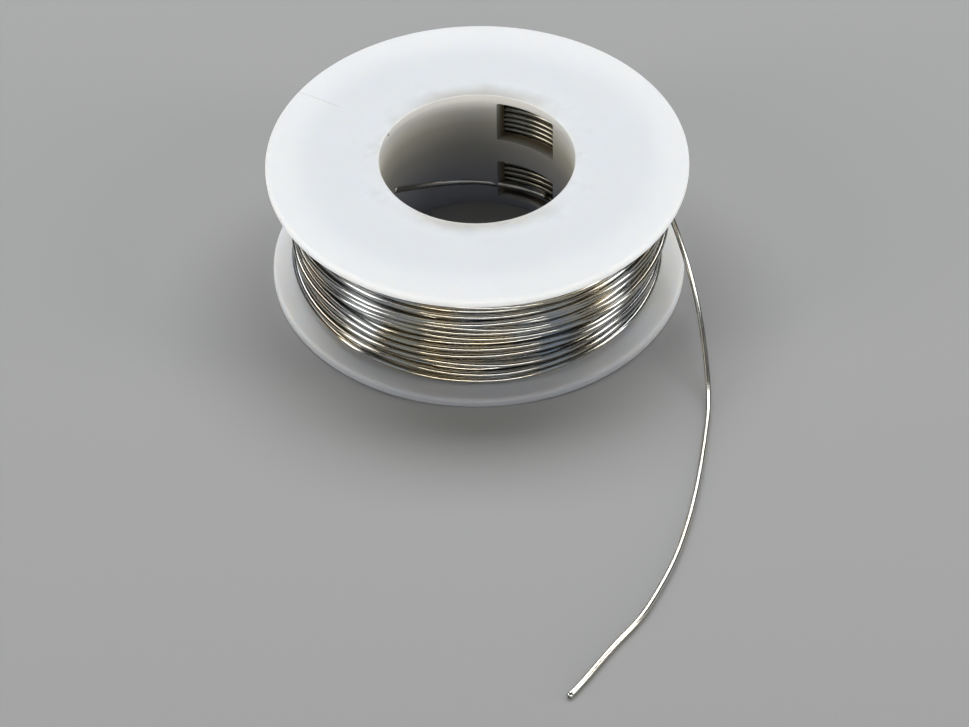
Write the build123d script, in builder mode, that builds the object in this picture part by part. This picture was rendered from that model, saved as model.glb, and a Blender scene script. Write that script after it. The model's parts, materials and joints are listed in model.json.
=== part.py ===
from build123d import *
import os
from math import cos, pi, radians, sin, tan

# A small solder spool: two flanges on a hollow hub, wound with 0.8 mm solder wire. Millimetres, +Z up along
# the spool's axis, origin at the centre of the bottom face. Azimuths are degrees from +X, anticlockwise.

# ---- driving dimensions ----
SPOOL_HEIGHT = 19.3
LOWER_FLANGE_RADIUS = 28.0
UPPER_FLANGE_RADIUS = 28.25
FLANGE_THICKNESS = 1.35
RIM_ROUND = 0.4
BORE_ROUND = 0.15

BORE_RADIUS = 13.1
HUB_WALL = 1.8
LIP_WALL = 0.95
LIP_LENGTH = 0.7
LIP_GAP = 0.02

WINDOW_AZIMUTH = 58.0
WINDOW_WIDTH = 8.9
WINDOW_HEIGHT = 6.35
WINDOW_CORNER = 0.25

WIRE_RADIUS = 0.4
CORE_RADIUS = 0.17
PACK_CROWN_RADIUS = 25.6
PACK_EDGE_RADIUS = 24.5

GROOVE_RADIUS = 0.5
TAIL_BITE = 0.1

# ---- worked-out dimensions ----
HUB_RADIUS = BORE_RADIUS + HUB_WALL
LIP_RADIUS = HUB_RADIUS - LIP_WALL
PACK_BOTTOM = FLANGE_THICKNESS
PACK_TOP = SPOOL_HEIGHT - FLANGE_THICKNESS
MID_HEIGHT = SPOOL_HEIGHT / 2
WINDOW_LENGTH = 2 * (HUB_RADIUS + 1)

# The start of the wire, as (azimuth, radius, height): it leaves the lowest innermost turn, passes in through the
# lower window and lies along the bore wall, climbing to its cut end.
TAIL_STATIONS = [
    (52.0, 15.30, 1.76),
    (59.0, 15.24, 1.84),
    (65.5, 14.90, 2.10),
    (72.0, 14.30, 2.58),
    (78.0, 13.72, 3.12),
    (84.5, 13.42, 3.55),
    (93.0, 13.45, 3.72),
    (104.0, 13.45, 3.98),
    (116.0, 13.45, 4.52),
    (128.0, 13.45, 5.40),
    (139.0, 13.45, 6.60),
    (149.0, 13.44, 7.95),
]

# The working end of the wire: off the pack's last turn at a tangent, clear over the lower flange, down to
# the surface that the spool stands on and along it to the cut end.
FREE_END_ROUTE = [
    (24.90, 5.30, 8.30),
    (26.15, -0.30, 8.35),
    (26.95, -4.60, 8.55),
    (28.00, -10.20, 8.00),
    (29.05, -16.40, 6.20),
    (29.75, -22.30, 3.15),
    (29.95, -28.20, 0.45),
    (28.95, -35.40, 0.41),
    (27.75, -42.60, 0.42),
    (26.20, -49.60, 0.41),
    (24.10, -56.60, 0.42),
    (21.40, -62.60, 0.41),
    (19.20, -66.70, 0.42),
    (16.40, -70.20, 0.41),
    (13.80, -73.90, 0.42),
    (11.95, -76.70, 0.41),
    (10.05, -79.20, 0.42),
]


def cylinder_point(azimuth, radius, height):
    """A point given by its azimuth, its radius and its height."""
    return (radius * cos(radians(azimuth)), radius * sin(radians(azimuth)), height)


def bend_radii(route):
    """Each corner's arc is as large as its two runs allow."""
    radii = []
    for before, corner, after in zip(route, route[1:], route[2:]):
        run_in = Vector(*corner) - Vector(*before)
        run_out = Vector(*after) - Vector(*corner)
        half_turn = radians(run_in.get_angle(run_out) / 2)
        radii.append(0.45 * min(run_in.length, run_out.length) / tan(half_turn))
    return radii


def round_tube(route, outer_radius, inner_radius=0.0):
    """A round wire, or a round sleeve, along straight runs joined by tangent arcs."""
    with BuildPart() as tube:
        with BuildLine() as path:
            FilletPolyline(*route, radius=bend_radii(route))
        with BuildSketch(Plane(origin=path.line @ 0, z_dir=path.line % 0)):
            Circle(outer_radius)
            if inner_radius:
                Circle(inner_radius, mode=Mode.SUBTRACT)
        sweep()
    section = pi * (outer_radius**2 - inner_radius**2)
    print(f"tube volume {tube.part.volume:.3f}, section times length {section * path.wire().length:.3f}")
    return tube.part


def flange(base_height, radius):
    """A flat ring with rounded rims, and a recess in its inner face for the hub's lip."""
    is_lower = base_height == 0
    with BuildPart() as ring:
        with BuildSketch(Plane.XY.offset(base_height)):
            Circle(radius)
            Circle(BORE_RADIUS, mode=Mode.SUBTRACT)
        extrude(amount=FLANGE_THICKNESS)
        circles = ring.edges().filter_by(GeomType.CIRCLE).group_by(SortBy.RADIUS)
        bore_mouth = circles[0].sort_by(Axis.Z)[0 if is_lower else -1]
        fillet(circles[-1], RIM_ROUND)
        fillet(bore_mouth, BORE_ROUND)
        with BuildSketch(Plane.XY.offset(PACK_BOTTOM - LIP_LENGTH if is_lower else PACK_TOP)):
            Circle(HUB_RADIUS + LIP_GAP)
            Circle(LIP_RADIUS - LIP_GAP, mode=Mode.SUBTRACT)
        extrude(amount=LIP_LENGTH, mode=Mode.SUBTRACT)
    return ring.part


tail_route = [cylinder_point(*station) for station in TAIL_STATIONS]
groove_route = [cylinder_point(azimuth, radius - TAIL_BITE, height) for azimuth, radius, height in TAIL_STATIONS]
print("tail bend radii:", [round(radius, 1) for radius in bend_radii(tail_route)])
print("free end bend radii:", [round(radius, 1) for radius in bend_radii(FREE_END_ROUTE)])

# ---- flanges: two flat rings, the upper one slightly larger, each seated on an end of the hub ----
lower_flange = flange(0, LOWER_FLANGE_RADIUS)
upper_flange = flange(PACK_TOP, UPPER_FLANGE_RADIUS)

# ---- hub: a tube with a locating lip at each end, two windows on each side and a groove for the wire's start ----
groove_cutter = round_tube(groove_route, GROOVE_RADIUS)

with BuildPart() as hub_barrel:
    with BuildSketch(Plane.XY.offset(PACK_BOTTOM - LIP_LENGTH)):
        Circle(HUB_RADIUS)
        Circle(LIP_RADIUS, mode=Mode.SUBTRACT)
    extrude(amount=PACK_TOP - PACK_BOTTOM + 2 * LIP_LENGTH)
    with BuildSketch(Plane.XY.offset(PACK_BOTTOM)):
        Circle(HUB_RADIUS)
        Circle(BORE_RADIUS, mode=Mode.SUBTRACT)
    extrude(amount=PACK_TOP - PACK_BOTTOM)
    window_plane = Plane(
        origin=cylinder_point(WINDOW_AZIMUTH, WINDOW_LENGTH / 2, MID_HEIGHT),
        x_dir=cylinder_point(WINDOW_AZIMUTH + 90, 1, 0),
        z_dir=cylinder_point(WINDOW_AZIMUTH, -1, 0),
    )
    window_offset = (PACK_TOP - PACK_BOTTOM - WINDOW_HEIGHT) / 2
    with BuildSketch(window_plane):
        with Locations((0, window_offset), (0, -window_offset)):
            RectangleRounded(WINDOW_WIDTH, WINDOW_HEIGHT, WINDOW_CORNER)
    extrude(amount=WINDOW_LENGTH, mode=Mode.SUBTRACT)
    add(groove_cutter, mode=Mode.SUBTRACT)

# ---- solder: the start of the wire, the pack of turns, and the free end with its core of flux ----
with BuildPart() as start_tail:
    add(round_tube(tail_route, WIRE_RADIUS))
    with BuildSketch():
        Circle(HUB_RADIUS)
    extrude(amount=SPOOL_HEIGHT, mode=Mode.INTERSECT)

free_wire = round_tube(FREE_END_ROUTE, WIRE_RADIUS)

with BuildPart() as solder_winding:
    with BuildSketch(Plane.XZ):
        with BuildLine():
            Line((HUB_RADIUS, PACK_TOP), (HUB_RADIUS, PACK_BOTTOM))
            Line((HUB_RADIUS, PACK_BOTTOM), (PACK_EDGE_RADIUS, PACK_BOTTOM))
            ThreePointArc(
                (PACK_EDGE_RADIUS, PACK_BOTTOM),
                (PACK_CROWN_RADIUS, MID_HEIGHT),
                (PACK_EDGE_RADIUS, PACK_TOP),
            )
            Line((PACK_EDGE_RADIUS, PACK_TOP), (HUB_RADIUS, PACK_TOP))
        make_face()
    revolve(axis=Axis.Z)
    add(free_wire, mode=Mode.SUBTRACT)

pieces = {
    "lower_flange": lower_flange,
    "upper_flange": upper_flange,
    "hub_barrel": hub_barrel.part,
    "start_tail": start_tail.part,
    "solder_winding": solder_winding.part,
    "free_end": round_tube(FREE_END_ROUTE, WIRE_RADIUS, CORE_RADIUS),
    "flux_core": round_tube(FREE_END_ROUTE, CORE_RADIUS),
}

os.makedirs("parts", exist_ok=True)
for name, piece in pieces.items():
    piece.label = name
    export_step(piece, f"parts/{name}.step")
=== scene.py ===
import json
import math

import bpy
import numpy as np
from mathutils import Matrix, Vector


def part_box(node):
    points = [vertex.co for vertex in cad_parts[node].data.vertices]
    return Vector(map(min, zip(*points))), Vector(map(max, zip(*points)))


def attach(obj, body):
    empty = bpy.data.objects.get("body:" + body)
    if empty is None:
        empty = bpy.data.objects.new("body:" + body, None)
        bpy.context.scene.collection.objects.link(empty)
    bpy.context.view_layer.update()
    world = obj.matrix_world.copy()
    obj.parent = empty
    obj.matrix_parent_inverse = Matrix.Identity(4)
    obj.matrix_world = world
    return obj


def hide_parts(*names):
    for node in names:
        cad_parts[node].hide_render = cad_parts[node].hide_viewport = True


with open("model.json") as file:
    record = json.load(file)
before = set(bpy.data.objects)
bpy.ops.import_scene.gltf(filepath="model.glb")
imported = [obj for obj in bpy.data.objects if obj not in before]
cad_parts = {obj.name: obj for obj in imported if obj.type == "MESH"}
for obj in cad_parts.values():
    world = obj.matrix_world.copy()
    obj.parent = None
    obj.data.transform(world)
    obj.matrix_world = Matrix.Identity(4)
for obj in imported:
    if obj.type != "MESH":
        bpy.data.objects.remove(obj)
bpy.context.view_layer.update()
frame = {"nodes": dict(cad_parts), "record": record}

MM = 0.001
TURN = 2 * math.pi

# ---------------------------------------------------------------- sizes, from the frame where it has them
LOWER_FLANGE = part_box("lower_flange")
UPPER_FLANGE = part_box("upper_flange")
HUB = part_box("hub_barrel")
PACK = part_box("solder_winding")

SPOOL_HEIGHT = UPPER_FLANGE[1].z
HUB_RADIUS = HUB[1].x
PACK_BOTTOM = PACK[0].z
PACK_TOP = PACK[1].z
BORE = next(mount for mount in frame["record"]["mounts"] if mount["name"] == "spindle_bore")
BORE_RADIUS = BORE["dims"]["r_mm"] * MM
RIM_ROUND = 0.4 * MM
BORE_ROUND = 0.15 * MM

WIRE_RADIUS = 0.4 * MM
CORE_RADIUS = 0.17 * MM
WIRE_DIAMETER = 2 * WIRE_RADIUS

# The wire's two ends, in millimetres, as in the CAD source.
TAIL_STATIONS = [
    (52.0, 15.30, 1.76),
    (59.0, 15.24, 1.84),
    (65.5, 14.90, 2.10),
    (72.0, 14.30, 2.58),
    (78.0, 13.72, 3.12),
    (84.5, 13.42, 3.55),
    (93.0, 13.45, 3.72),
    (104.0, 13.45, 3.98),
    (116.0, 13.45, 4.52),
    (128.0, 13.45, 5.40),
    (139.0, 13.45, 6.60),
    (149.0, 13.44, 7.95),
]
FREE_END_ROUTE = [
    (24.90, 5.30, 8.30),
    (26.15, -0.30, 8.35),
    (26.95, -4.60, 8.55),
    (28.00, -10.20, 8.00),
    (29.05, -16.40, 6.20),
    (29.75, -22.30, 3.15),
    (29.95, -28.20, 0.45),
    (28.95, -35.40, 0.41),
    (27.75, -42.60, 0.42),
    (26.20, -49.60, 0.41),
    (24.10, -56.60, 0.42),
    (21.40, -62.60, 0.41),
    (19.20, -66.70, 0.42),
    (16.40, -70.20, 0.41),
    (13.80, -73.90, 0.42),
    (11.95, -76.70, 0.41),
    (10.05, -79.20, 0.42),
]


def on_cylinder(azimuth, radius, height):
    """A point given by its azimuth in degrees, its radius and its height."""
    angle = math.radians(azimuth)
    return (radius * math.cos(angle), radius * math.sin(angle), height)


# ---------------------------------------------------------------- camera
AIM = Vector((0.5 * MM, -19.5 * MM, 0))
CAMERA_DISTANCE = 529.2 * MM
CAMERA_ELEVATION = math.radians(43.49)
CAMERA_YAW = math.radians(0.06)
CAMERA_ROLL = math.radians(0.986)
LENS_MM = 147.8
SENSOR_WIDTH_MM = 36


def add_camera():
    """A long lens looking down at the spool, rolled by a degree."""
    forward = Vector((
        math.sin(CAMERA_YAW) * math.cos(CAMERA_ELEVATION),
        math.cos(CAMERA_YAW) * math.cos(CAMERA_ELEVATION),
        -math.sin(CAMERA_ELEVATION),
    ))
    level = Vector((math.cos(CAMERA_YAW), -math.sin(CAMERA_YAW), 0))
    down = forward.cross(level)
    right = math.cos(CAMERA_ROLL) * level + math.sin(CAMERA_ROLL) * down
    up = right.cross(forward)
    data = bpy.data.cameras.new("camera")
    data.lens = LENS_MM
    data.sensor_width = SENSOR_WIDTH_MM
    camera = bpy.data.objects.new("camera", data)
    turn = Matrix((right, up, -forward)).transposed()
    camera.matrix_world = Matrix.Translation(AIM - CAMERA_DISTANCE * forward) @ turn.to_4x4()
    bpy.context.scene.collection.objects.link(camera)
    bpy.context.scene.camera = camera


add_camera()


# ---------------------------------------------------------------- mesh helpers
def add_mesh(name, points, faces, uvs=None):
    """A smooth-shaded mesh object; uvs holds one (u, v) for each face corner."""
    mesh = bpy.data.meshes.new(name)
    mesh.from_pydata([tuple(p) for p in points], [], faces)
    if uvs is not None:
        layer = mesh.uv_layers.new(name="along_around")
        layer.data.foreach_set("uv", np.asarray(uvs, np.float32).ravel())
    mesh.polygons.foreach_set("use_smooth", [True] * len(mesh.polygons))
    mesh.update()
    piece = bpy.data.objects.new(name, mesh)
    bpy.context.scene.collection.objects.link(piece)
    return piece


def spline_points(route, steps):
    """Points along the open NURBS spline whose control points are the route's."""
    data = bpy.data.curves.new("route", "CURVE")
    data.dimensions = "3D"
    data.resolution_u = steps
    spline = data.splines.new("NURBS")
    spline.points.add(len(route) - 1)
    for point, place in zip(spline.points, route):
        point.co = (*place, 1)
    spline.order_u = 3
    spline.use_endpoint_u = True
    curve = bpy.data.objects.new("route", data)
    bpy.context.scene.collection.objects.link(curve)
    bpy.context.view_layer.update()
    line = bpy.data.meshes.new_from_object(curve)
    points = np.array([v.co for v in line.vertices])
    bpy.data.objects.remove(curve)
    return points


def tangents_of(points):
    """The path's unit direction at each point."""
    steps = np.gradient(points, axis=0)
    return steps / np.linalg.norm(steps, axis=1)[:, None]


def transported_normals(tangents, first):
    """Normals carried along a path without twist."""
    normals = [first - tangents[0] * (first @ tangents[0])]
    for tangent in tangents[1:]:
        carried = normals[-1] - tangent * (normals[-1] @ tangent)
        normals.append(carried / np.linalg.norm(carried))
    return np.array(normals)


def tube_rings(points, normals, radii, sides):
    """Rings of vertices around a path, and the faces that join them."""
    tangents = tangents_of(points)
    normals = normals - tangents * (normals * tangents).sum(1)[:, None]
    normals /= np.linalg.norm(normals, axis=1)[:, None]
    binormals = np.cross(tangents, normals)
    angles = TURN * np.arange(sides) / sides
    cosines = np.cos(angles)[None, :, None]
    sines = np.sin(angles)[None, :, None]
    around = cosines * normals[:, None] + sines * binormals[:, None]
    radii = np.broadcast_to(radii, len(points))
    vertices = (points[:, None] + around * radii[:, None, None]).reshape(-1, 3)
    length = np.concatenate([[0], np.cumsum(np.linalg.norm(np.diff(points, axis=0), axis=1))])
    ring = np.arange(len(points) - 1)[:, None] * sides
    side = np.arange(sides)[None]
    after = (side + 1) % sides
    corners = [ring + side, ring + after, ring + sides + after, ring + sides + side]
    faces = np.stack(corners, -1).reshape(-1, 4)
    u0 = np.repeat(length[:-1], sides)
    u1 = np.repeat(length[1:], sides)
    v0 = np.tile(np.arange(sides) / sides, len(points) - 1)
    v1 = v0 + 1 / sides
    uvs = np.stack([np.stack(corner, -1) for corner in ((u0, v0), (u0, v1), (u1, v1), (u1, v0))], 1)
    return vertices, faces.tolist(), uvs.reshape(-1, 2)


def cap(faces, uvs, first, sides, reverse):
    """Closes a tube's end with one face."""
    face = list(range(first, first + sides))
    if reverse:
        face.reverse()
    return faces + [face], np.concatenate([uvs, np.tile(uvs[0], (sides, 1))])


def tube(name, points, normals, radii, sides):
    """A round wire along a path, closed at both ends."""
    vertices, faces, uvs = tube_rings(points, normals, radii, sides)
    faces, uvs = cap(faces, uvs, 0, sides, True)
    faces, uvs = cap(faces, uvs, len(vertices) - sides, sides, False)
    return add_mesh(name, vertices, faces, uvs)


# ---------------------------------------------------------------- the pack of turns
WINDING_SEED = 191
SLICES = 96
START_AZIMUTH = TAIL_STATIONS[0][0]
END_AZIMUTH = 12.0
PITCH = 0.93 * MM
FIRST_PITCH = 1.3 * MM
LEAST_PITCH = 0.6 * MM
MOST_PITCH = 1.6 * MM
PITCH_SPREAD = (0.18, 0.36)
SLOW_WANDER = (0.04 * MM, 0.16 * MM)
FAST_WANDER = (0.02 * MM, 0.08 * MM)
WANDER_KEPT = 0.85
LOOSE_RADIUS = 22.9 * MM
FULL_RADIUS = 23.3 * MM
RECENT_TURNS = 60
SIDE_STEPS = np.linspace(-0.45, 0.45, 19) * MM
SIDE_PULL = 120.0
SMOOTHING_SLICES = 17
SLICES_BEFORE = 16
SLICES_AFTER = 8
HOLD_SLICES = 10
BRIDGING_PASSES = 14
END_REACH = 0.5 * MM
LEAVING_SLICES = 30
START_HEIGHT = TAIL_STATIONS[0][2] * MM
END_HEIGHT = FREE_END_ROUTE[0][2] * MM
END_RADIUS = math.hypot(FREE_END_ROUTE[0][0], FREE_END_ROUTE[0][1]) * MM


def rest_radius(z, below_z, below_r):
    """How far out the wire's centre rests at each slice's heights z: on the hub or on the turns below."""
    base = np.full(z.shape, HUB_RADIUS + WIRE_RADIUS)
    if len(below_z) == 0:
        return base
    gap = np.abs(z[None] - below_z[:, :, None])
    lift = np.sqrt(np.maximum(WIRE_DIAMETER**2 - gap**2, 0))
    return np.maximum(base, np.where(gap < WIRE_DIAMETER, below_r[:, :, None] + lift, 0).max(0))


def lay_turns(seed):
    """Lays the wire turn on turn: each turn is guided up or down the hub, slips into the valleys between the
    turns below it and rests on them. The outer layers are looser than the inner ones. Returns the height and
    radius of the wire's centre in each slice."""
    draw = np.random.default_rng(seed)
    lowest = PACK_BOTTOM + WIRE_RADIUS
    highest = PACK_TOP - WIRE_RADIUS
    share = np.arange(SLICES) / SLICES
    window = np.hanning(SMOOTHING_SLICES) / np.hanning(SMOOTHING_SLICES).sum()
    heights, radii = [], []
    guide, way = START_HEIGHT, 1
    wander = draw.standard_normal(4)
    last_z = np.full(SLICES_BEFORE, START_HEIGHT)
    last_r = HUB_RADIUS + WIRE_RADIUS
    full = False
    while not full or abs(guide - END_HEIGHT) > END_REACH:
        loose = float(last_r > LOOSE_RADIUS)
        spread, slow, fast = (a + (b - a) * loose for a, b in (PITCH_SPREAD, SLOW_WANDER, FAST_WANDER))
        pitch = min(max(PITCH * (1 + spread * draw.standard_normal()), LEAST_PITCH), MOST_PITCH)
        if not heights:
            pitch = FIRST_PITCH
        path = np.empty(SLICES)
        for k in range(SLICES):
            guide += way * pitch / SLICES
            if guide < lowest:
                guide, way = 2 * lowest - guide, 1
                full = full or last_r > FULL_RADIUS
            if guide > highest:
                guide, way = 2 * highest - guide, -1
            path[k] = guide
        wander = WANDER_KEPT * wander + math.sqrt(1 - WANDER_KEPT**2) * draw.standard_normal(4)
        path += slow * (wander[0] * np.cos(TURN * share) + wander[1] * np.sin(TURN * share))
        path += fast * (wander[2] * np.cos(2 * TURN * share) + wander[3] * np.sin(2 * TURN * share))
        path = np.clip(path, lowest, highest)
        below_z = np.array(heights[-RECENT_TURNS:]).reshape(-1, SLICES)
        below_r = np.array(radii[-RECENT_TURNS:]).reshape(-1, SLICES)
        tries = np.clip(path[:, None] + SIDE_STEPS[None], lowest, highest)
        cost = rest_radius(tries, below_z, below_r) + SIDE_PULL * SIDE_STEPS[None] ** 2
        best = tries[np.arange(SLICES), cost.argmin(1)]
        joined = np.concatenate([last_z, best, np.full(SLICES_AFTER, best[-1])])
        z = np.convolve(joined, window, "same")[SLICES_BEFORE:SLICES_BEFORE + SLICES]
        hold = (1 - np.clip(np.arange(SLICES) / HOLD_SLICES, 0, 1)) ** 2
        z = np.clip(last_z[-1] * hold + z * (1 - hold), lowest, highest)
        rest = rest_radius(z[:, None], below_z, below_r)[:, 0]
        r = rest.copy()
        for _ in range(BRIDGING_PASSES):
            ends = np.concatenate([[last_r], r, [r[-1]]])
            r = np.maximum(rest, (ends[:-2] + ends[2:]) / 2)
        heights.append(z)
        radii.append(r)
        last_z, last_r = z[-SLICES_BEFORE:], r[-1]
    return np.array(heights), np.array(radii)


def winding_path():
    """The centre line of the whole pack, from the wire's start to where the free end leaves it."""
    heights, radii = lay_turns(WINDING_SEED)
    z, r = heights.ravel(), radii.ravel()
    last = int(round((START_AZIMUTH - END_AZIMUTH) / 360 * SLICES))
    z, r = z[:len(z) - SLICES + last + 1], r[:len(r) - SLICES + last + 1]
    to_end = np.arange(len(z)) - len(z) + 1
    blend = np.clip((to_end + LEAVING_SLICES) / LEAVING_SLICES, 0, 1)
    blend = blend * blend * (3 - 2 * blend)
    z = z * (1 - blend) + END_HEIGHT * blend
    r = np.maximum(r * (1 - blend) + END_RADIUS * blend, r)
    r[-1] = END_RADIUS
    azimuth = np.radians(START_AZIMUTH) - TURN * np.arange(len(z)) / SLICES
    return np.stack([r * np.cos(azimuth), r * np.sin(azimuth), z], 1)


# The pack's stretches of wire: each one's name, its first turn and the sides of its tube. Those that show,
# through the windows and outside, are the rounder ones.
STRETCHES = [
    ("first_turns", 0, 12),
    ("inner_turns", 18, 8),
    ("middle_turns", 98, 8),
    ("outer_turns", 178, 16),
]


def add_winding():
    """The pack as one wire, cut into stretches of whole turns."""
    path = winding_path()
    length = np.linalg.norm(np.diff(path, axis=0), axis=1).sum()
    print(f"pack: {len(path) / SLICES:.1f} turns, {length:.2f} m of wire, outer radius "
          f"{1000 * (np.hypot(path[:, 0], path[:, 1]).max() + WIRE_RADIUS):.2f} mm")
    ends = [first * SLICES for _, first, _ in STRETCHES[1:]] + [len(path) - 1]
    pieces = []
    for (name, first, sides), end in zip(STRETCHES, ends):
        points = path[first * SLICES:end + 1]
        pieces.append(tube(name, points, points * (1, 1, 0), WIRE_RADIUS, sides))
    return pieces


# ---------------------------------------------------------------- the wire's two ends
def add_free_end():
    """The wire's working end, with the flux that shows at its cut."""
    route = [Vector(p) * MM for p in FREE_END_ROUTE]
    points = spline_points(route, 10)
    tangents = tangents_of(points)
    normals = transported_normals(tangents, np.array([1.0, 0, 0]))
    sheath = tube("free_end_wire", points, normals, WIRE_RADIUS, 16)
    core = tube("free_end_core", points[-4:], normals[-4:], CORE_RADIUS, 12)
    return sheath, core


def add_start_tail():
    """The wire's start, through the window and along the bore's wall."""
    route = [Vector(on_cylinder(*station)) * MM for station in TAIL_STATIONS]
    points = spline_points(route, 10)
    tangents = tangents_of(points)
    normals = transported_normals(tangents, np.array([0, 0, 1.0]))
    return tube("start_tail_wire", points, normals, WIRE_RADIUS, 16)


# ---------------------------------------------------------------- mouldings
LATHE_SEGMENTS = 360
CORNER_HOLD = 0.06 * MM


def lathe(name, profile):
    """A ring turned from a closed profile of (radius, height) points."""
    angles = TURN * np.arange(LATHE_SEGMENTS) / LATHE_SEGMENTS
    radius, height = np.array(profile).T
    points = np.stack([
        radius[None] * np.cos(angles)[:, None],
        radius[None] * np.sin(angles)[:, None],
        np.broadcast_to(height, (LATHE_SEGMENTS, len(height))),
    ], -1).reshape(-1, 3)
    count = len(profile)
    faces = []
    for s in range(LATHE_SEGMENTS):
        here, there = s * count, (s + 1) % LATHE_SEGMENTS * count
        for i in range(count):
            j = (i + 1) % count
            faces.append((here + i, there + i, there + j, here + j))
    return add_mesh(name, points, faces)


def quarter(centre, start, radius, steps):
    """A quarter round, anticlockwise from the start angle in degrees."""
    turns = [math.radians(start + 90 * i / steps) for i in range(steps + 1)]
    return [(centre[0] + radius * math.cos(a), centre[1] + radius * math.sin(a)) for a in turns]


def add_flange(name, box, bore_mouth):
    """A flat ring with rounded rims and a rounded mouth to its bore, which is at the ring's "top" or
    "bottom". A ring of vertices just inside each corner keeps the faces flat."""
    bottom, top = box[0].z, box[1].z
    outer = box[1].x - RIM_ROUND
    mouth = BORE_RADIUS + BORE_ROUND
    hold = CORNER_HOLD
    profile = [(outer - hold, bottom)]
    profile += quarter((outer, bottom + RIM_ROUND), 270, RIM_ROUND, 8)
    profile += quarter((outer, top - RIM_ROUND), 0, RIM_ROUND, 8)
    profile += [(outer - hold, top)]
    if bore_mouth == "top":
        profile += [(mouth + hold, top)]
        profile += quarter((mouth, top - BORE_ROUND), 90, BORE_ROUND, 4)
        profile += [(BORE_RADIUS, bottom + hold), (BORE_RADIUS, bottom), (BORE_RADIUS + hold, bottom)]
    else:
        profile += [(BORE_RADIUS + hold, top), (BORE_RADIUS, top), (BORE_RADIUS, top - hold)]
        profile += quarter((mouth, bottom + BORE_ROUND), 180, BORE_ROUND, 4)
        profile += [(mouth + hold, bottom)]
    return lathe(name, profile)


# ---------------------------------------------------------------- materials
def new_material(name):
    """A material with one Principled shader."""
    material = bpy.data.materials.new(name)
    material.use_nodes = True
    nodes = material.node_tree.nodes
    nodes.clear()
    output = nodes.new("ShaderNodeOutputMaterial")
    shader = nodes.new("ShaderNodeBsdfPrincipled")
    material.node_tree.links.new(shader.outputs[0], output.inputs["Surface"])
    return material, shader


def node(material, kind, settings=None, **inputs):
    """Adds a node; inputs are numbers, or the sockets that feed them."""
    made = material.node_tree.nodes.new(kind)
    for key, value in (settings or {}).items():
        setattr(made, key, value)
    for key, value in inputs.items():
        socket = made.inputs[int(key[1:])] if key[0] == "i" and key[1:].isdigit() else made.inputs[key]
        if isinstance(value, bpy.types.NodeSocket):
            material.node_tree.links.new(value, socket)
        else:
            socket.default_value = value
    return made


def feed(material, socket, source):
    material.node_tree.links.new(source, socket)


def product(material, first, second):
    return node(material, "ShaderNodeMath", {"operation": "MULTIPLY"}, i0=first, i1=second).outputs[0]


def magnitude(material, source):
    return node(material, "ShaderNodeMath", {"operation": "ABSOLUTE"}, i0=source).outputs[0]


def stretched(material, source, scale):
    return node(material, "ShaderNodeMapping", Vector=source, Scale=scale).outputs[0]


def axis_distance(material, place):
    """How far the point is from the spool's axis."""
    flat = stretched(material, place, (1.0, 1.0, 0.0))
    return node(material, "ShaderNodeVectorMath", {"operation": "LENGTH"}, i0=flat).outputs["Value"]


def ramp(material, source, low, high, out_low, out_high):
    """Maps low..high to out_low..out_high, clamped at both ends."""
    made = node(material, "ShaderNodeMapRange", i0=source, i1=low, i2=high, i3=out_low, i4=out_high)
    return made.outputs[0]


def mix_colour(material, share, first, second):
    made = node(material, "ShaderNodeMix", {"data_type": "RGBA"})
    for socket, value in ((made.inputs[0], share), (made.inputs[6], first), (made.inputs[7], second)):
        if isinstance(value, bpy.types.NodeSocket):
            feed(material, socket, value)
        else:
            socket.default_value = value
    return made.outputs[2]


def solder_material(name, warm, cool, low_rough, high_rough):
    """Bare drawn solder: two tints in patches, and faint lines along the wire."""
    material, shader = new_material(name)
    shader.inputs["Metallic"].default_value = 1.0
    uv = node(material, "ShaderNodeUVMap", {"uv_map": "along_around"}).outputs[0]
    place = node(material, "ShaderNodeTexCoord").outputs["Object"]
    tint = node(material, "ShaderNodeTexNoise", Vector=place, Scale=90.0, Detail=2.0).outputs[0]
    tint = ramp(material, tint, 0.4, 0.6, 0.0, 1.0)
    colour = mix_colour(material, tint, (*warm, 1), (*cool, 1))
    feed(material, shader.inputs["Base Color"], colour)
    drawn = stretched(material, uv, (40.0, 6.0, 1.0))
    lines = node(material, "ShaderNodeTexNoise", Vector=drawn, Scale=1.0, Detail=3.0).outputs[0]
    patches = node(material, "ShaderNodeTexNoise", Vector=place, Scale=260.0, Detail=2.0).outputs[0]
    rough = ramp(material, patches, 0.35, 0.7, low_rough, high_rough)
    feed(material, shader.inputs["Roughness"], rough)
    bump = node(material, "ShaderNodeBump", Strength=0.07, Distance=0.00003, Height=lines)
    feed(material, shader.inputs["Normal"], bump.outputs[0])
    return material


def colour_ramp(material, source, stops):
    """A ramp of colours: stops are (place, colour)."""
    made = node(material, "ShaderNodeValToRGB", Fac=source)
    elements = made.color_ramp.elements
    for stop, (place, colour) in enumerate(stops):
        element = elements[stop] if stop < 2 else elements.new(place)
        element.position = place
        element.color = (*colour, 1)
    return made.outputs[0]


def plastic(name):
    """Satin plastic with a fine grain."""
    material, shader = new_material(name)
    place = node(material, "ShaderNodeTexCoord").outputs["Object"]
    cloud = node(material, "ShaderNodeTexNoise", Vector=place, Scale=60.0, Detail=3.0).outputs[0]
    feed(material, shader.inputs["Roughness"], ramp(material, cloud, 0.3, 0.7, 0.40, 0.50))
    grain = node(material, "ShaderNodeTexNoise", Vector=place, Scale=900.0, Detail=3.0).outputs[0]
    bump = node(material, "ShaderNodeBump", Strength=0.1, Distance=0.00003, Height=grain)
    feed(material, shader.inputs["Normal"], bump.outputs[0])
    return material, shader, place, cloud


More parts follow.
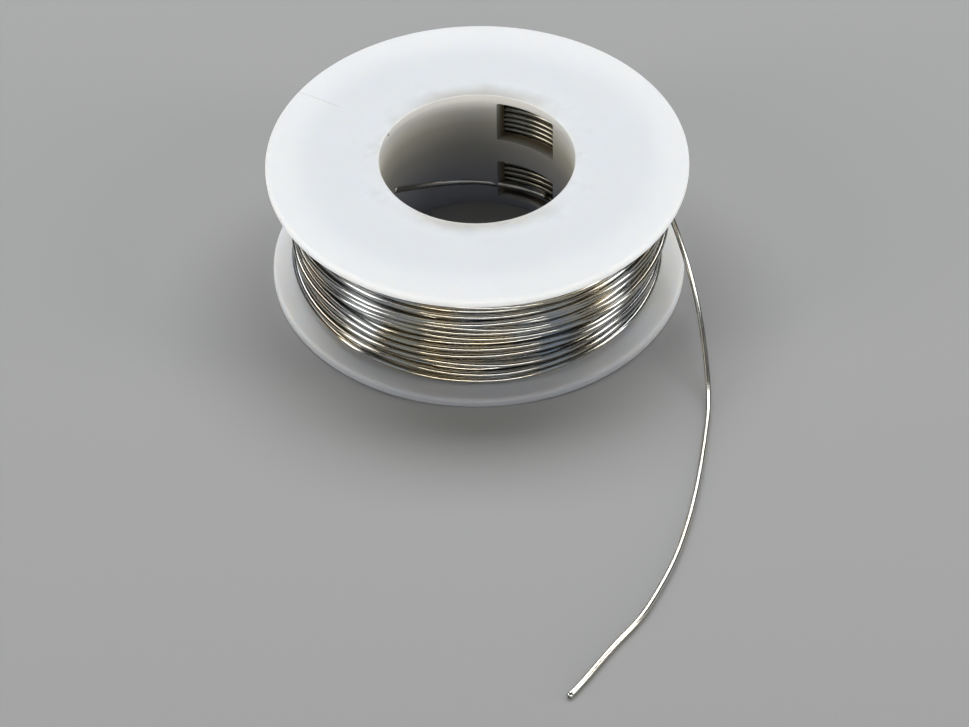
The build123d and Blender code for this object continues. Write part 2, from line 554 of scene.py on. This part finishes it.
# Painted shade and light on the bore's wall, from bottom to top: painted shade, darker and bluer towards the
# bottom, where the solder lies behind the hub's thin wall, and painted light at its mouth.
BORE_PAINTED_SHADE_AND_LIGHT = [
    (0.00, (0.27, 0.285, 0.345)),
    (0.30, (0.31, 0.315, 0.35)),
    (0.55, (0.38, 0.37, 0.345)),
    (0.74, (0.57, 0.545, 0.465)),
    (0.86, (0.86, 0.84, 0.77)),
    (0.95, (0.97, 0.97, 0.965)),
]


# Painted shade down the bore's wall, by height, and painted light at its mouth.
def bore_wall_painted_shade_and_light(material, place):
    height = node(material, "ShaderNodeSeparateXYZ", Vector=place).outputs["Z"]
    height = ramp(material, height, 0.0, SPOOL_HEIGHT, 0.0, 1.0)
    return colour_ramp(material, height, BORE_PAINTED_SHADE_AND_LIGHT)


# Small marks on the upper flange: where, how large in millimetres, and what colour.
FLANGE_SPOTS = [
    (on_cylinder(136.0, 23.3, 19.3), 0.32, (1.0, 1.0, 1.0)),
    (on_cylinder(155.0, 13.25, 18.9), 0.2, (0.02, 0.02, 0.02)),
]

SMUDGE_COLOUR = (0.60, 0.60, 0.585, 1)
BORE_RING_DARK_COLOUR = (0.42, 0.415, 0.40, 1)
PARTING_COLOUR = (0.45, 0.45, 0.44, 1)
SHADED_RIM_COLOUR = (0.49, 0.51, 0.56, 1)
SHADE_COLOUR = (0.31, 0.33, 0.385, 1)
WINDOW_SIDE_PAINTED_SHADE = (0.22, 0.17, 0.105, 1)
GLOW_COLOUR = (0.95, 0.975, 1.0, 1)

# The azimuth at which the mould's halves met.
PARTING_AZIMUTH = 149.0

# A painted glow on the upper flange's rim, standing in for the light that its milky plastic carries there.
RIM_GLOW = 0.2


def inside_ball(material, place, centre, radius):
    """1 within the radius of the centre, both in millimetres, and 0 a little outside it."""
    centre = tuple(c * MM for c in centre)
    away = node(material, "ShaderNodeVectorMath", {"operation": "DISTANCE"}, i0=place, i1=centre)
    return ramp(material, away.outputs["Value"], radius * MM, 1.4 * radius * MM, 1.0, 0.0)


def with_smudges_and_dark_ring(material, clean, place, radius, y):
    """Grey smudges round the bore, and a darker ring in front of it and behind it."""
    near_bore = ramp(material, radius, BORE_RADIUS, BORE_RADIUS + 4.5 * MM, 1.0, 0.0)
    patches = node(material, "ShaderNodeTexNoise", Vector=place, Scale=210.0, Detail=5.0).outputs[0]
    patches = ramp(material, patches, 0.47, 0.66, 0.0, 0.6)
    face = mix_colour(material, product(material, near_bore, patches), clean, SMUDGE_COLOUR)
    across = ramp(material, magnitude(material, y), 0.55 * BORE_RADIUS, BORE_RADIUS, 0.0, 1.0)
    dark_ring = ramp(material, radius, BORE_RADIUS, BORE_RADIUS + 2.8 * MM, 0.95, 0.0)
    return mix_colour(material, product(material, across, dark_ring), face, BORE_RING_DARK_COLOUR)


def with_parting_line(material, colour, place):
    """A faint line that runs out to the rim."""
    turned = node(material, "ShaderNodeVectorRotate", {"rotation_type": "Z_AXIS"}, Vector=place,
                  Angle=math.radians(-PARTING_AZIMUTH)).outputs[0]
    turned = node(material, "ShaderNodeSeparateXYZ", Vector=turned)
    outwards = ramp(material, turned.outputs["X"], 20.5 * MM, 23.0 * MM, 0.0, 0.5)
    line = ramp(material, magnitude(material, turned.outputs["Y"]), 0.06 * MM, 0.14 * MM, 1.0, 0.0)
    return mix_colour(material, product(material, outwards, line), colour, PARTING_COLOUR)


def with_lower_shade(material, colour, radius, y, height):
    """Paints shade on the lower flange towards its front, and on its front rim."""
    lower = ramp(material, height, PACK_BOTTOM, PACK_BOTTOM + 1.0 * MM, 1.0, 0.0)
    rim = ramp(material, radius, LOWER_FLANGE[1].x - RIM_ROUND, LOWER_FLANGE[1].x - 0.1 * MM, 0.0, 1.0)
    front = ramp(material, y, -25.0 * MM, -8.0 * MM, 1.0, 0.3)
    rim = product(material, product(material, rim, lower), front)
    colour = mix_colour(material, rim, colour, SHADED_RIM_COLOUR)
    shade = ramp(material, y, -27.0 * MM, -9.0 * MM, 0.75, 0.0)
    return mix_colour(material, product(material, shade, lower), colour, SHADE_COLOUR)


# A painted glow, as emission, on the upper flange's rim.
def upper_rim_glow(material, radius, height):
    at_rim = ramp(material, radius, UPPER_FLANGE[1].x - RIM_ROUND, UPPER_FLANGE[1].x, 0.0, 1.0)
    upper = ramp(material, height, PACK_TOP - 1.0 * MM, PACK_TOP, 0.0, RIM_GLOW)
    return product(material, at_rim, upper)


def flange_material(name, scatter, first, second):
    """Milky, nearly white plastic with light inside it, opaque on the bore's wall. scatter is how far the
    light travels; first and second are the clean plastic's two tints."""
    material, shader, place, cloud = plastic(name)
    parts = node(material, "ShaderNodeSeparateXYZ", Vector=place).outputs
    radius = axis_distance(material, place)
    clean = mix_colour(material, ramp(material, cloud, 0.3, 0.7, 0.0, 1.0), (*first, 1), (*second, 1))
    face = with_smudges_and_dark_ring(material, clean, place, radius, parts["Y"])
    in_bore = ramp(material, radius, BORE_RADIUS + 0.02 * MM, BORE_RADIUS + 0.14 * MM, 1.0, 0.0)
    colour = mix_colour(material, in_bore, face, bore_wall_painted_shade_and_light(material, place))
    colour = with_parting_line(material, colour, place)
    colour = with_lower_shade(material, colour, radius, parts["Y"], parts["Z"])
    for centre, size, tint in FLANGE_SPOTS:
        colour = mix_colour(material, inside_ball(material, place, centre, size), colour, (*tint, 1))
    feed(material, shader.inputs["Base Color"], colour)
    milky = node(material, "ShaderNodeMath", {"operation": "SUBTRACT"}, i0=1.0, i1=in_bore).outputs[0]
    feed(material, shader.inputs["Subsurface Weight"], milky)
    shader.inputs["Subsurface Radius"].default_value = (1.0, 0.85, 0.68)
    shader.inputs["Subsurface Scale"].default_value = scatter
    shader.inputs["Emission Color"].default_value = GLOW_COLOUR
    feed(material, shader.inputs["Emission Strength"], upper_rim_glow(material, radius, parts["Z"]))
    return material


def hub_material():
    """The bore wall's painted shade and light, and painted brown shade on the windows' sides, standing in for
    the turns behind, seen dimly through the plastic.
    """
    material, shader, place, _ = plastic("hub_plastic")
    radius = axis_distance(material, place)
    # Painted brown shade on the windows' sides.
    in_window = ramp(material, radius, BORE_RADIUS + 0.1 * MM, BORE_RADIUS + 1.3 * MM, 0.0, 1.0)
    colour = mix_colour(material, in_window, bore_wall_painted_shade_and_light(material, place), WINDOW_SIDE_PAINTED_SHADE)
    feed(material, shader.inputs["Base Color"], colour)
    return material


def flux_material():
    material, shader = new_material("flux")
    place = node(material, "ShaderNodeTexCoord").outputs["Object"]
    cloud = node(material, "ShaderNodeTexNoise", Vector=place, Scale=4000.0, Detail=2.0).outputs[0]
    colour = mix_colour(material, cloud, (0.42, 0.20, 0.05, 1), (0.66, 0.40, 0.12, 1))
    feed(material, shader.inputs["Base Color"], colour)
    shader.inputs["Roughness"].default_value = 0.25
    return material


def floor_material():
    material, shader = new_material("floor")
    shader.inputs["Base Color"].default_value = (0.355, 0.36, 0.365, 1)
    shader.inputs["Roughness"].default_value = 0.8
    return material


# ---------------------------------------------------------------- lights and floor
FLOOR_HALF_WIDTH = 3.0
WORLD_COLOUR = (0.95, 0.93, 0.85, 1)
WORLD_STRENGTH = 0.055
WARM_LIGHT = (1.0, 0.97, 0.90)
COOL_LIGHT = (0.58, 0.76, 1.0)


def area_light(name, azimuth, elevation, distance, size, radiance, colour=(1, 1, 1)):
    """A softbox that faces the spool, given by its direction in degrees; size is across and up."""
    data = bpy.data.lights.new(name, "AREA")
    data.shape = "RECTANGLE"
    data.size, data.size_y = size
    data.energy = radiance * math.pi * size[0] * size[1]
    data.color = colour
    place = Vector(on_cylinder(azimuth, math.cos(math.radians(elevation)), math.sin(math.radians(elevation))))
    light = bpy.data.objects.new(name, data)
    light.location = place * distance
    light.rotation_euler = (-place).to_track_quat("-Z", "Y").to_euler()
    light.visible_camera = False
    bpy.context.scene.collection.objects.link(light)


def add_stage():
    """The floor, the softboxes and a dim even light from all round."""
    size = FLOOR_HALF_WIDTH
    corners = [(-size, -size, 0), (size, -size, 0), (size, size, 0), (-size, size, 0)]
    floor = add_mesh("floor", corners, [(0, 1, 2, 3)])
    floor.data.materials.append(floor_material())
    area_light("softbox_back", 90, 62, 0.75, (1.10, 0.45), 4.2)
    area_light("softbox_left", -159, 21, 0.60, (0.17, 0.44), 4.7, WARM_LIGHT)
    area_light("softbox_right", -14, 21, 0.60, (0.17, 0.44), 4.7, WARM_LIGHT)
    area_light("strip_front", -90, 5, 0.90, (1.10, 0.07), 13.5, (1.0, 0.94, 0.82))
    area_light("fill_left", -133, 26, 0.80, (0.22, 0.60), 0.45, COOL_LIGHT)
    area_light("fill_right", -48, 26, 0.80, (0.22, 0.60), 0.45, COOL_LIGHT)
    world = bpy.data.worlds.new("studio")
    bpy.context.scene.world = world
    world.use_nodes = True
    background = world.node_tree.nodes["Background"]
    background.inputs["Color"].default_value = WORLD_COLOUR
    background.inputs["Strength"].default_value = WORLD_STRENGTH
    bpy.context.scene.view_settings.view_transform = "Standard"


# ---------------------------------------------------------------- assembly
def dress(piece, material, slot, *replaced):
    """Gives a piece its material and body, and hides the CAD nodes that it stands in for. slot is not used.
    """
    piece.data.materials.clear()
    piece.data.materials.append(material)
    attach(piece, "root")
    if replaced:
        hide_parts(*replaced)


solder = solder_material("solder", (0.57, 0.515, 0.405), (0.47, 0.485, 0.50), 0.10, 0.18)
# A lighter copy of the solder, painted light, for the free end and the start tail.
painted_light_solder = solder_material("solder_painted_light", (0.80, 0.765, 0.68), (0.76, 0.76, 0.74), 0.16, 0.24)
# A darker copy of the solder, painted shade, for the first turns inside the hub.
painted_shade_solder = solder_material("solder_painted_shade", (0.34, 0.31, 0.24), (0.28, 0.265, 0.225), 0.14, 0.24)
upper_plastic = flange_material("flange_plastic", 5.0 * MM, (0.984, 0.985, 0.986), (0.99, 0.99, 0.99))
# The lower flange's copy of the plastic: bluer, a painted shade, and scattering light a shorter way.
lower_plastic = flange_material("flange_plastic_shaded", 2.0 * MM, (0.95, 0.968, 0.99), (0.96, 0.976, 0.995))
flux = flux_material()

sheath, core = add_free_end()
dress(sheath, painted_light_solder, "solder", "free_end")
dress(core, flux, "flux", "flux_core")
dress(add_start_tail(), painted_light_solder, "solder", "start_tail")
for turns in add_winding():
    dress(turns, painted_shade_solder if turns.name == "first_turns" else solder, "solder", "solder_winding")
dress(add_flange("flange_lower", LOWER_FLANGE, "bottom"), lower_plastic, "spool_plastic", "lower_flange")
dress(add_flange("flange_upper", UPPER_FLANGE, "top"), upper_plastic, "spool_plastic", "upper_flange")
hub = frame["nodes"]["hub_barrel"]
hub.data.materials.clear()
hub.data.materials.append(hub_material())

add_stage()
